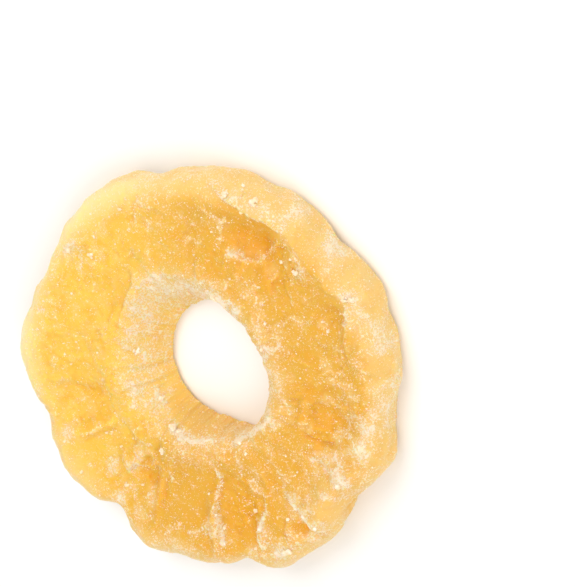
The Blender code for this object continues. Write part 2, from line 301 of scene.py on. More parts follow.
# Pale flakes, and clear spots whose share is below 0: angle, radius and half width in millimetres, share
FLECKS = (
    (3, 37.6, 1.3, 0.6), (4, 27.5, 1.1, 0.5), (6, 18.7, 1.9, 0.3), (10, 27.2, 1.1, 0.5),
    (10, 37.3, 1.6, -0.4), (14, 23.7, 2.3, -0.3), (14, 38.5, 1.6, 0.8), (21, 36.6, 1.3, 0.4),
    (25, 36.0, 1.4, 0.4), (26, 29.5, 1.0, 0.5), (26, 39.9, 1.7, -0.3), (28, 38.5, 1.0, 0.6),
    (29, 25.1, 1.4, 0.3), (30, 32.9, 1.7, -0.5), (30, 37.1, 1.2, 0.6), (31, 38.1, 2.0, 0.3),
    (33, 21.2, 0.9, 0.4), (39, 36.5, 1.0, 0.5), (40, 35.4, 1.2, -0.4), (44, 35.4, 1.4, -0.4),
    (49, 30.9, 1.0, 0.6), (51, 25.6, 1.7, -0.3), (51, 37.2, 1.7, -0.4), (52, 27.7, 1.3, 0.6),
    (54, 39.1, 1.7, 0.3), (56, 38.7, 1.7, 0.4), (59, 27.5, 1.3, 0.5), (68, 20.0, 1.0, 0.6),
    (68, 30.0, 1.7, -0.5), (69, 26.2, 1.3, 0.5), (70, 17.0, 1.2, 0.7), (72, 37.3, 1.3, 0.6),
    (75, 30.7, 1.2, 0.5), (78, 24.9, 1.2, -0.4), (168, 22.0, 1.9, -0.4), (188, 30.6, 1.3, 0.6),
    (190, 35.4, 1.4, 0.7), (193, 24.8, 2.3, -0.4), (197, 15.4, 1.0, 0.6), (201, 28.0, 1.0, 0.4),
    (204, 24.8, 1.9, -0.5), (206, 33.8, 1.8, 0.7), (211, 11.8, 1.3, 0.6), (220, 20.2, 1.8, -0.6),
    (220, 35.2, 1.4, 0.3), (224, 10.3, 1.4, -0.4), (224, 29.4, 1.6, 0.8), (224, 34.8, 1.9, 0.5),
    (229, 21.9, 1.6, 0.5), (229, 26.0, 1.3, 0.7), (233, 29.7, 1.1, 0.7), (233, 32.4, 1.6, 0.8),
    (235, 25.9, 1.4, -0.6), (241, 33.0, 1.4, 0.5), (242, 28.2, 1.3, 0.6), (244, 30.2, 1.3, 0.6),
    (247, 30.6, 1.4, -0.5), (248, 26.6, 1.3, -0.5), (256, 35.1, 1.6, 0.7), (260, 29.1, 1.9, -0.3),
    (283, 34.8, 1.6, 0.5), (285, 26.0, 1.9, -0.4), (291, 29.6, 1.1, 0.6), (294, 35.5, 1.4, 0.7),
    (306, 33.6, 0.8, -0.8), (306, 35.6, 1.4, 0.6), (309, 28.1, 1.6, 0.6), (312, 34.3, 1.6, 0.7),
    (319, 34.1, 1.9, -0.4), (323, 30.2, 1.0, -0.7), (323, 31.0, 1.3, 0.5), (329, 32.2, 1.3, 0.5),
    (331, 33.0, 1.1, 0.7), (336, 17.2, 1.1, 0.7), (336, 25.1, 1.4, -0.7), (337, 31.9, 1.6, -0.3),
    (340, 27.6, 1.0, -0.7), (341, 22.7, 1.3, 0.6), (341, 36.9, 1.6, -0.3), (342, 28.8, 1.3, 0.5),
    (342, 34.8, 1.6, 0.6), (344, 18.7, 1.9, 0.2), (346, 25.7, 1.9, -0.5), (349, 35.6, 1.3, 0.5),
    (350, 34.2, 1.4, 0.6), (355, 36.2, 1.6, 0.4), (356, 25.7, 1.4, 0.5), (358, 23.2, 1.4, -0.4),
)
MILLIMETRE = 0.001
FROST_SHARPNESS = 1.2
FLECK_SHARPNESS = 2.0

# Ranges over which a share grows from 0 to 1. Of the ring's height, for what belongs to the face
TOP_PART = (0.5, 0.95)
UPPER_PART = (0.2, 0.5)
TORN_PART = (0.5, 0.9)
# Of the distance from the ring's middle
HOLE_WALL_REACH = (0.0115, 0.0150)
CLEAR_BAND_REACH = (0.0114, 0.0122)
SIDE_REACH = (0.030, 0.036)
RIM_REACH = (0.0335, 0.0385)
GLOW_REACH = (0.0315, 0.0380)
# Of the height above the floor
FROST_FROM = (0.0, 0.0025)
RELIEF_FROM = (0.0001, 0.0012)
SUGAR_FROM = (0.0003, 0.0040)
# Of how far the flesh stands above its surroundings
RIDGE_RELIEF = (0.00005, 0.00035)
# Flesh that lies lower than its surroundings over HOLLOW_RELIEF, and in named hollows deeper than DEEP_SPOT,
# is painted more amber: painted shade in the hollows
HOLLOW_RELIEF = (0.00002, 0.00045)
DEEP_SPOT = -0.0008

# The way to the left, the lit side, and to the low right, the shaded side, as x and y. Towards the left the
# flesh is painted lighter and more lemon with less amber: painted light, along with the clearer flesh there.
# Towards the low right it is painted more amber: painted shade
LIT_SIDE = (-0.88, 0.22)
SHADED_SIDE = (0.4, -0.8)
LEFT_LEMON = (0.05, 0.75)

# Bands that swell round the ring: angle, strength, half width. Two also lie beside the lip, each with its
# middle and its half width there
COLLAR_FROST = ((105, 0.6, 45), (265, -0.1, 40), (20, 0.1, 40))
COLLAR_FROST_LEAST = 0.8
COLLAR_FROST_BAND = (-0.0008, 0.0034)
# AMBER_BESIDE_COLLAR paints amber at the foot of the collar's step on the left: painted shade
AMBER_BESIDE_COLLAR = ((150, 1.0, 30),)
AMBER_BAND = (0.0040, 0.0020)
# The glow bands are painted light: a paler, brighter edge on the upper left, as if lit through
GLOW = ((128, 0.95, 34), (176, 0.75, 20), (215, 0.3, 14))
GLOW_BELOW_TOP = 0.10
CLEAR_BAND = ((240, 1.0, 46),)

# Sizes of the uneven colour's patches
MOTTLE_SIZE = 0.0032
CLOUD_SIZE = 0.0085
AMBER_SIZE = 0.006

# What makes the flesh frosted, amber and pale, and how much
FROST_WEIGHTS = {
    "everywhere": 0.12, "collar": 0.30, "hole wall": 0.16, "patches": 0.50, "flakes": 0.36,
    "clear spots": -0.60, "ridges": 0.10, "torn edges": 0.55, "mottle": 0.14, "clouds": 0.28,
    "clouds on the side": 0.22, "side": 0.04, "left of the side": 0.14, "mottle on the side": 0.26,
    "clear band": -0.42, "left": -0.10, "deep spots": -0.50, "glow": -0.22,
}
# In AMBER_WEIGHTS the hollows, the deep spots and the band beside the collar are painted shade, while the
# amber clouds and clear spots are the flesh's own tone
AMBER_WEIGHTS = {
    "hollows": 0.28, "deep spots": 0.58, "low right": 0.28, "clouds": 0.25, "beside the collar": 0.40,
    "left": -0.35, "clear spots": 0.38,
}
SUGAR_WEIGHTS = {"everywhere": 0.10, "frost": 0.9}
SUGAR_POWER = 1.2
CRUMB_WEIGHTS = {"everywhere": 0.02, "torn edges": 0.9, "thick frost": 0.10}
PALE_WEIGHTS = {"rim": 0.85, "collar": 0.35, "hole wall": 0.25, "flap": 0.7, "flakes": 0.6, "patches": 0.6}
# How much of the clouds goes on the collar, of the lemon on the rim, and of the left's effect in deep spots
COLLAR_CLOUD_LOSS = 0.5
RIM_LEMON_LOSS = 0.4
DEEP_LEFT_LOSS = 0.6

# Single crystals and lumps of sugar: angle, radius, half width
CRYSTALS = (
    (65.9, 0.0378, 0.00073), (74.3, 0.0369, 0.00055), (71.7, 0.0384, 0.00037), (67.9, 0.0354, 0.00037),
    (60.3, 0.0358, 0.00027), (48.3, 0.0329, 0.00037), (51.0, 0.0302, 0.00037), (44.5, 0.0319, 0.00050),
    (28.7, 0.0378, 0.00046), (29.7, 0.0369, 0.00046), (26.2, 0.0297, 0.00037), (22.8, 0.0301, 0.00032),
    (33.4, 0.0213, 0.00023), (38.0, 0.0198, 0.00023), (52.0, 0.0237, 0.00027), (237.5, 0.0127, 0.00064),
    (244.4, 0.0127, 0.00046), (239.7, 0.0178, 0.00060), (237.2, 0.0280, 0.00027), (232.3, 0.0299, 0.00037),
    (269.6, 0.0231, 0.00027), (198.1, 0.0153, 0.00027), (211.3, 0.0120, 0.00037), (220.4, 0.0252, 0.00037),
    (212.0, 0.0264, 0.00027), (218.3, 0.0356, 0.00032), (289.9, 0.0271, 0.00041), (304.3, 0.0163, 0.00037),
    (302.4, 0.0305, 0.00032), (303.3, 0.0141, 0.00037), (329.1, 0.0329, 0.00041), (318.7, 0.0249, 0.00027),
    (295.1, 0.0358, 0.00055), (296.7, 0.0359, 0.00050), (274.3, 0.0297, 0.00040), (290.4, 0.0302, 0.00036),
    (132.0, 0.0297, 0.00046), (111.7, 0.0338, 0.00030), (126.5, 0.0318, 0.00027), (167.7, 0.0143, 0.00055),
    (71.9, 0.0168, 0.00046), (55.6, 0.0176, 0.00027), (26.5, 0.0165, 0.00037), (138.4, 0.0338, 0.00046),
    (310.5, 0.0316, 0.00037), (311.7, 0.0346, 0.00037), (308.2, 0.0295, 0.00030), (274.6, 0.0325, 0.00030),
    (272.7, 0.0270, 0.00030), (285.6, 0.0338, 0.00030),
)


class RingShape(bpy.types.PropertyGroup):
    """How finely the flesh is made and how rough it is."""

    turn_steps: IntProperty(
        name="Turn steps", description="Steps of the turned profile round the hole",
        default=620, min=64, max=640,
    )
    ragged: FloatProperty(
        name="Raggedness", description="How far noise pushes the edges of hollows and ridges about",
        default=0.00055, unit="LENGTH",
    )
    torn_edges: IntProperty(
        name="Torn edges", description="Short torn edges strewn over the face", default=130, min=0
    )
    flake_height: FloatProperty(
        name="Flake height", description="Height of the torn flakes on the face",
        default=0.00040, unit="LENGTH",
    )
    fibre_height: FloatProperty(
        name="Fibre height", description="Height of the fibres that run along the spokes",
        default=0.00005, unit="LENGTH",
    )
    grit_height: FloatProperty(
        name="Grit height", description="Height of the finest grit", default=0.00013, unit="LENGTH"
    )
    noise_seed: IntProperty(name="Noise seed", description="Seed of all the fine relief", default=7, min=0)


class FleshColours(bpy.types.PropertyGroup):
    """The colours of the flesh and its sugar, from the pale frost to the deepest hollows."""

    # Lemon: the clearer flesh on the upper left, and painted light on the side the light comes from
    lemon: FloatVectorProperty(
        name="Lemon", description="Clear flesh on the upper left", subtype="COLOR", size=3,
        default=(0.900, 0.578, 0.088), min=0, max=1,
    )
    gold: FloatVectorProperty(
        name="Gold", description="Most of the face", subtype="COLOR", size=3,
        default=(0.770, 0.438, 0.056), min=0, max=1,
    )
    # Amber is the flesh's own tone in places, and painted shade in hollows, pits and on the low right side
    amber: FloatVectorProperty(
        name="Amber", description="Hollows and pits", subtype="COLOR", size=3,
        default=(0.825, 0.378, 0.007), min=0, max=1,
    )
    pale: FloatVectorProperty(
        name="Pale rim", description="Rind side, rim and lobes", subtype="COLOR", size=3,
        default=(0.885, 0.640, 0.250), min=0, max=1,
    )
    # Glow is painted light along the thin edge that light shines through
    glow: FloatVectorProperty(
        name="Glow", description="The edge on the upper left that light shines through",
        subtype="COLOR", size=3, default=(1.0, 0.80, 0.36), min=0, max=1,
    )
    frost: FloatVectorProperty(
        name="Frost", description="Dried sugar on ridges, edges and the collar", subtype="COLOR", size=3,
        default=(0.965, 0.68, 0.31), min=0, max=1,
    )
    crystal: FloatVectorProperty(
        name="Crystal", description="Loose sugar crystals", subtype="COLOR", size=3,
        default=(1.0, 0.90, 0.74), min=0, max=1,
    )


class SugarStrewing(bpy.types.PropertyGroup):
    """How much sugar lies on the ring."""

    dust_density: FloatProperty(
        name="Dust density", description="Fine grains for each square metre where sugar lies thickest",
        default=5.0e6, min=0,
    )
    dust_size: FloatProperty(
        name="Dust size", description="Half width of a fine grain", default=0.00010, unit="LENGTH"
    )
    powder_density: FloatProperty(
        name="Powder density", description="Finest grains for each square metre where sugar lies thickest",
        default=12e6, min=0,
    )
    powder_size: FloatProperty(
        name="Powder size", description="Half width of one of the finest grains",
        default=0.00006, unit="LENGTH",
    )
    crumb_density: FloatProperty(
        name="Crumb density", description="Crumbs for each square metre where they lie thickest",
        default=7e6, min=0,
    )
    crumb_size: FloatProperty(
        name="Crumb size", description="Half width of a crumb", default=0.00017, unit="LENGTH"
    )
    stray_crystals: IntProperty(
        name="Stray crystals", description="Small crystals strewn over the whole face", default=130, min=0
    )
    seed: IntProperty(name="Sugar seed", description="Seed of where the grains fall", default=5, min=0)


class StageView(bpy.types.PropertyGroup):
    """The camera, which looks down on the lying ring as the photo looks on the leaning one."""

    tilt: FloatProperty(
        name="Tilt", description="Angle between the line of sight and the ring's axis",
        default=math.radians(35), subtype="ANGLE", unit="ROTATION",
    )
    turn: FloatProperty(
        name="Turn", description="Angle round the ring, from +X, that the camera leans towards",
        default=math.radians(34), subtype="ANGLE", unit="ROTATION",
    )
    distance: FloatProperty(
        name="Distance", description="From the ring's middle to the camera", default=0.42, unit="LENGTH"
    )
    pixel_size: FloatProperty(
        name="Pixel size", description="Width at the ring that one pixel shows",
        default=0.000183, precision=6, unit="LENGTH",
    )
    floor_colour: FloatVectorProperty(
        name="Floor", description="The plain floor", subtype="COLOR", size=3, default=(0.97, 0.968, 0.965),
        min=0, max=1,
    )
    key_power: FloatProperty(
        name="Key light", description="Power of the soft light from the left", default=1.4, min=0
    )
    fill_power: FloatProperty(
        name="Fill light", description="Power of the wide light from the right", default=2.75, min=0
    )
    sky: FloatProperty(name="Sky", description="Brightness of the even light all round", default=0.72, min=0)


def placed(name, data):
    """A new object in the scene that shows a mesh, light or camera."""
    thing = bpy.data.objects.new(name, data)
    bpy.context.scene.collection.objects.link(thing)
    return thing


# The ring's shape


def corner(centre, reach, first_angle, steps):
    """Points along a rounded edge of the profile, a quarter of an ellipse run clockwise."""
    points = []
    for step in range(steps + 1):
        angle = math.radians(first_angle - 90 * step / steps)
        points.append((centre[0] + reach[0] * math.cos(angle), centre[1] + reach[1] * math.sin(angle)))
    return points


def between(start, end, count):
    """Points spread evenly between two others, without the two themselves."""
    shares = [(step + 1) / (count + 1) for step in range(count)]
    return [tuple(a + (b - a) * share for a, b in zip(start, end)) for share in shares]


def ring_profile():
    """The closed profile, which runs out across the face, down the rind side and back underneath."""
    outer, hole, top = OUTER_RADIUS, HOLE_RADIUS, THICKNESS
    face_points, underside_points, top_steps, low_steps, wall_points = 84, 14, 14, 5, 4
    outer_top = corner((outer - OUTER_TOP_EDGE[0], top - OUTER_TOP_EDGE[1]), OUTER_TOP_EDGE, 90, top_steps)
    outer_low = corner((outer - OUTER_LOW_EDGE[0], OUTER_LOW_EDGE[1]), OUTER_LOW_EDGE, 0, low_steps)
    hole_low = corner((hole + HOLE_LOW_EDGE[0], HOLE_LOW_EDGE[1]), HOLE_LOW_EDGE, 270, low_steps)
    hole_top = corner((hole + HOLE_TOP_EDGE[0], top - HOLE_TOP_EDGE[1]), HOLE_TOP_EDGE, 180, top_steps)
    face = between(hole_top[-1], outer_top[0], face_points)
    rind_side = between(outer_top[-1], outer_low[0], wall_points)
    underside = between(outer_low[-1], hole_low[0], underside_points)
    hole_side = between(hole_low[-1], hole_top[0], 2 * wall_points)
    return face + outer_top + rind_side + outer_low + underside + hole_low + hole_side + hole_top


def turned(profile, steps):
    """The plain ring, as a mesh turned from its profile."""
    count = len(profile)
    mesh = bpy.data.meshes.new("ring_profile")
    mesh.from_pydata([(x, 0, z) for x, z in profile], [(i, (i + 1) % count) for i in range(count)], [])
    guide = placed("ring_profile", mesh)
    screw = guide.modifiers.new("turn", "SCREW")
    screw.axis = "Z"
    screw.angle = math.tau
    screw.steps = screw.render_steps = steps
    screw.use_merge_vertices = False
    graph = bpy.context.evaluated_depsgraph_get()
    solid = bpy.data.meshes.new_from_object(guide.evaluated_get(graph))
    bpy.data.objects.remove(guide)
    bpy.data.meshes.remove(mesh)
    return solid


def bell(value, half_width):
    """1 at 0 and smoothly less on both sides."""
    return np.exp(-((value / half_width) ** 2))


def swell(angle, rows):
    """The sum, at each angle, of smooth bulges given as angle, height and half width."""
    total = np.zeros_like(angle)
    for middle, height, half_width in rows:
        apart = (angle - middle + 180) % 360 - 180
        total += height * bell(apart, half_width)
    return total


def circle_reach(angle, circle):
    """How far the circle given as x, y, radius lies from the ring's middle at each angle."""
    x, y, radius = circle
    along = x * np.cos(np.radians(angle)) + y * np.sin(np.radians(angle))
    across = x * np.sin(np.radians(angle)) - y * np.cos(np.radians(angle))
    return along + np.sqrt(radius**2 - across**2)


def moved_radius(radius, angle, share):
    """Each point's radius with the outline's lobes and the hole's wall. share is 0 below and 1 on top."""
    width = OUTER_RADIUS - HOLE_RADIUS
    outward = np.clip((radius - HOLE_RADIUS) / width, 0, 1)
    low = circle_reach(angle, HOLE_LOW) + swell(angle, LOW_LIP)
    top = circle_reach(angle, HOLE_TOP) + swell(angle, TOP_LIP)
    hole = low + (top - low) * share**FUNNEL_POWER
    rind = swell(angle, OUTLINE)
    waves = sum(
        reach * np.sin(np.radians(angle) * around + math.tau * upward * share + phase)
        for around, upward, phase, reach in WALL_WAVES
    )
    pushed = outward**2 * rind + outward**WALL_POWER * waves
    return radius + pushed + (1 - outward) ** HOLE_POWER * (hole - HOLE_RADIUS)


def spot_share(x, y, spot, sharpness=SPOT_SHARPNESS):
    """1 in the middle of an oval spot and 0 well outside it."""
    angle, radius, turn, half_length, half_width = spot[:5]
    spoke = math.radians(angle)
    heading = math.radians(angle + turn)
    dx = x - radius * math.cos(spoke)
    dy = y - radius * math.sin(spoke)
    along = (dx * math.cos(heading) + dy * math.sin(heading)) / half_length
    across = (dy * math.cos(heading) - dx * math.sin(heading)) / half_width
    return np.exp(-((along**2 + across**2) ** sharpness))


def spot_relief(x, y, spots):
    """The height that oval hollows and ridges add at each point of a face."""
    return sum(spot[5] * spot_share(x, y, spot) for spot in spots)


def random_spots(rng, count, size, heights):
    """Oval crags strewn over a face, longer along the spoke than across it."""
    spots = []
    for _ in range(count):
        half_width = rng.uniform(*size)
        spots.append((
            rng.uniform(0, 360), rng.uniform(HOLE_RADIUS + size[1], OUTER_RADIUS), rng.normal(0, CRAG_TURN),
            half_width * rng.uniform(*CRAG_STRETCH), half_width, rng.uniform(*heights),
        ))
    return spots


def ring_band(radius, band, swells, angle):
    """A raised band round the ring, given as radius, half width and height."""
    middle, half_width, height = band
    return (height + swell(angle, swells)) * bell(radius - middle, half_width)


def face_relief(plain_radius, angle, x, y, crags):
    """Height of the craggy face above the plain ring's top."""
    rim = ring_band(plain_radius, RIM, RIM_SWELLS, angle)
    collar = ring_band(plain_radius, COLLAR, COLLAR_SWELLS, angle)
    fibres = sum(
        height * np.sin(np.radians(angle) * waves + phase + FIBRE_TWIST * plain_radius)
        for waves, phase, height in FIBRE_WAVES
    )
    return rim + collar + spot_relief(x, y, SPOTS.values()) + spot_relief(x, y, crags) + fibres


# Noise

LATTICE_STEPS = (73856093, 19349663, 83492791)
LATTICE_TURNS = (2246822519, 3266489917, 2654435761)
LATTICE_SEED = (668265263, 374761393)
NOISE_GAIN = 1.5


def lattice_vectors(cells, seed):
    """Three repeatable numbers from -1 to 1 for each whole-number corner of a lattice."""
    steps = np.array(LATTICE_STEPS, np.uint64)
    factor, offset = LATTICE_SEED
    mixed = (cells.astype(np.uint64) * steps).sum(axis=-1) + np.uint64(seed * factor + offset)
    found = []
    for turn in LATTICE_TURNS:
        mixed = (mixed ^ (mixed >> np.uint64(15))) * np.uint64(turn) & np.uint64(0xFFFFFFFF)
        found.append(mixed.astype(np.float64) / 0x7FFFFFFF - 1)
    return np.stack(found, axis=-1)


def noise(points, size, seed):
    """Smooth noise from about -1 to 1 whose bumps are size across."""
    scaled = points / size
    base = np.floor(scaled)
    part = scaled - base
    fade = part**3 * (part * (part * 6 - 15) + 10)
    total = np.zeros(len(points))
    for step in itertools.product((0, 1), repeat=3):
        offset = np.array(step)
        weight = np.prod(np.where(offset, fade, 1 - fade), axis=1)
        slopes = lattice_vectors((base + offset).astype(np.int64), seed)
        total += weight * ((part - offset) * slopes).sum(axis=1)
    return np.clip(total * NOISE_GAIN, -1, 1)


def layered(points, size, seed, layers=3):
    """Noise with finer and fainter noise on it."""
    total = sum(noise(points, size / 2**i, seed + i) / 2**i for i in range(layers))
    return total / (2 - 0.5 ** (layers - 1))


def smooth_step(value, low, high):
    """0 up to low, 1 from high, and smooth between."""
    share = np.clip((value - low) / (high - low), 0, 1)
    return share * share * (3 - 2 * share)


def torn(value, treads):
    """A value from -1 to 1 cut into treads with steep edges, as torn flesh has."""
    level = (value + 1) / 2 * treads
    tread = np.floor(level)
    return (tread + smooth_step(level - tread, STEEP_FROM, 1.0)) / treads * 2 - 1


def along_spokes(angle, radius, stretch):
    """Places for noise that is drawn out along the spokes and closes on itself round the ring."""
    turn = np.radians(angle)
    ring = (OUTER_RADIUS + HOLE_RADIUS) / 2
    return np.stack([ring * np.cos(turn), ring * np.sin(turn), radius / stretch], axis=1)


# The flesh


def line_distance(x, y, line):
    """Each point's distance from a line, above 0 on the line's left, and how far along the line it lies."""
    turns = [(math.radians(angle), radius) for angle, radius in line]
    places = [(radius * math.cos(turn), radius * math.sin(turn)) for turn, radius in turns]
    nearest = np.full(len(x), np.inf)
    side = np.zeros(len(x))
    along = np.zeros(len(x))
    gone = 0.0
    for (start_x, start_y), (end_x, end_y) in zip(places, places[1:]):
        step_x, step_y = end_x - start_x, end_y - start_y
        length = math.hypot(step_x, step_y)
        part = np.clip(((x - start_x) * step_x + (y - start_y) * step_y) / length**2, 0, 1)
        away_x = x - start_x - part * step_x
        away_y = y - start_y - part * step_y
        distance = np.hypot(away_x, away_y)
        closer = distance < nearest
        nearest = np.where(closer, distance, nearest)
        side = np.where(closer, np.sign(step_x * away_y - step_y * away_x), side)
        along = np.where(closer, gone + part * length, along)
        gone += length
    return nearest * side, along / gone


def edge_relief(x, y, edges):
    """The height that torn edges and thin ridges add, and how near each point is to a sugared one."""
    relief = np.zeros(len(x))
    sugared = np.zeros(len(x))
    for step, ridge, half_width, sugar, line in edges:
        apart, along = line_distance(x, y, line)
        taper = smooth_step(4 * along * (1 - along), 0.0, EDGE_TAPER)
        distance = np.abs(apart)
        relief += taper * step * np.tanh(apart / EDGE_STEP_WIDTH) * np.exp(-distance / EDGE_FADE)
        relief += taper * ridge * bell(distance, half_width)
        sugared = np.maximum(sugared, sugar * taper * bell(distance, EDGE_SUGAR_WIDTH))
    return relief, sugared


def random_edges(rng, count):
    """Short torn edges strewn over the face, most of them near the spoke's direction."""
    edges = []
    for _ in range(count):
        angle, radius = rng.uniform(0, 360), rng.uniform(*TEAR_RADIUS)
        heading = rng.normal(0, TEAR_HEADING)
        line = [(angle, radius)]
        for _ in range(TEAR_PARTS):
            length = rng.uniform(*TEAR_LENGTH)
            radius += length * math.cos(heading)
            angle += math.degrees(length * math.sin(heading) / radius)
            heading += rng.normal(0, TEAR_BEND)
            line.append((angle, radius))
        step, ridge, sugar = rng.uniform(*TEAR_STEP), rng.uniform(*TEAR_RIDGE), rng.uniform(*TEAR_SUGAR)
        edges.append((step, ridge, TEAR_WIDTH, max(sugar, 0), line))
    return edges


def grid_blur(places, count, passes):
    """Places on the turned grid, evened out round the ring and along the profile."""
    grid = places.reshape(-1, count, 3)
    for _ in range(passes):
        for axis in (0, 1):
            grid = (np.roll(grid, 1, axis) + 2 * grid + np.roll(grid, -1, axis)) / 4
    return grid.reshape(places.shape)


def mesh_normals(mesh):
    """Each vertex's normal."""
    found = np.empty(len(mesh.vertices) * 3, np.float32)
    mesh.vertex_normals.foreach_get("vector", found)
    return found.reshape(-1, 3).astype(np.float64)


def noise_seeds(shape):
    """The seed of each noise, by name."""
    return {name: shape.noise_seed + step for name, step in NOISE_SEEDS.items()}


def ragged_push(place, seed):
    """How far edges are pushed about at each point, as a share of the raggedness."""
    return sum(share * layered(place, size, seed + step) for size, share, step in RAGGED_LAYERS)


def coarse_flesh(points, shape):
    """The turned ring's points on the solid's own form, with torn edges to its face, and what is where."""
    rng = np.random.default_rng(CRAG_SEED)
    crags = random_spots(rng, FACE_CRAGS, CRAG_SIZE, CRAG_HEIGHTS)
    hollows = random_spots(rng, UNDERSIDE_HOLLOWS, HOLLOW_SIZE, HOLLOW_DEPTHS)
    plain_x, plain_y, z = points.T
    plain_radius = np.hypot(plain_x, plain_y)
    angle = np.degrees(np.arctan2(plain_y, plain_x)) % 360
    share = np.clip(z / THICKNESS, 0, 1)
    radius = moved_radius(plain_radius, angle, share)
    x = radius * np.cos(np.radians(angle))
    y = radius * np.sin(np.radians(angle))
    place = np.stack([x, y, z], 1)
    seed = noise_seeds(shape)
    ragged_x = x + shape.ragged * ragged_push(place, seed["push in x"])
    ragged_y = y + shape.ragged * ragged_push(place, seed["push in y"])
    edges = list(EDGES.values()) + random_edges(rng, shape.torn_edges)
    torn_relief, sugared = edge_relief(ragged_x, ragged_y, edges)
    top = THICKNESS + face_relief(plain_radius, angle, ragged_x, ragged_y, crags)
    top += torn_relief * smooth_step(share, *TORN_PART)
    under = np.maximum(spot_relief(x, y, hollows) - LEVELLED, 0)
    height = under + (top - under) * share
    return np.stack([x, y, height], 1), (angle, plain_radius, share, (ragged_x, ragged_y), sugared)


def fine_relief(place, angle, radius, share, shape):
    """How far torn flakes, fibres, pits and grit stand out from the coarse flesh."""
    seed = noise_seeds(shape)
    down_the_side = THICKNESS * (1 - share) * smooth_step(radius, *SIDE_REACH)
    spokes = along_spokes(angle, radius + down_the_side, FLAKE_STRETCH)
    fibre_spokes = along_spokes(angle, radius, FIBRE_STRETCH)
    flakes = FLAKE_GAIN * layered(spokes, FLAKE_SIZE, seed["flakes"], layers=4)
    flakes = torn(np.clip(flakes, -1, 1), FLAKE_TREADS)
    fibres = layered(fibre_spokes, FIBRE_SIZE, seed["fibres"], layers=2)
    pits = smooth_step(noise(place, PIT_SIZE, seed["pits"]), *PIT_RANGE)
    grit = layered(place, GRIT_SIZE, seed["grit"], layers=2)
    calm = CALM_LEAST + (1 - CALM_LEAST) * smooth_step(noise(place, CALM_SIZE, seed["calm"]), *CALM_RANGE)
    rough = shape.flake_height * flakes - PIT_DEPTH * pits + shape.grit_height * grit
    return rough * calm + shape.fibre_height * fibres


def write_attribute(mesh, name, values):
    """A float for each vertex that the materials and the sugar read."""
    attribute = mesh.attributes.new(name, "FLOAT", "POINT")
    attribute.data.foreach_set("value", np.clip(values, 0, 1).astype(np.float32))


def facing(angle, way):
    """How far each angle faces a way given as x and y, from 0 to 1."""
    turn = np.radians(angle)
    return np.clip(way[0] * np.cos(turn) + way[1] * np.sin(turn), 0, 1)


def weighed(shares, weights):
    """The sum of the named shares, each times its weight."""
    return sum(weights[name] * share for name, share in shares.items())


def fleck_shares(x, y):
    """How far each point lies on a pale flake, and how far on a clear spot."""
    flakes = clears = 0
    for angle, radius, half_width, share in FLECKS:
        half_width *= MILLIMETRE
        spot = (angle, radius * MILLIMETRE, 0, half_width, half_width)
        near = share * spot_share(x, y, spot, FLECK_SHARPNESS)
        flakes += np.maximum(near, 0)
        clears -= np.minimum(near, 0)
    return flakes, clears


def deep_spots(x, y):
    """How deep in a named hollow each point lies, 1 in the middle of the deepest."""
    deepest = min(spot[5] for spot in SPOTS.values())
    return sum(
        (spot[5] / deepest) ** 2 * spot_share(x, y, spot, FROST_SHARPNESS)
        for spot in SPOTS.values() if spot[5] < DEEP_SPOT
    )


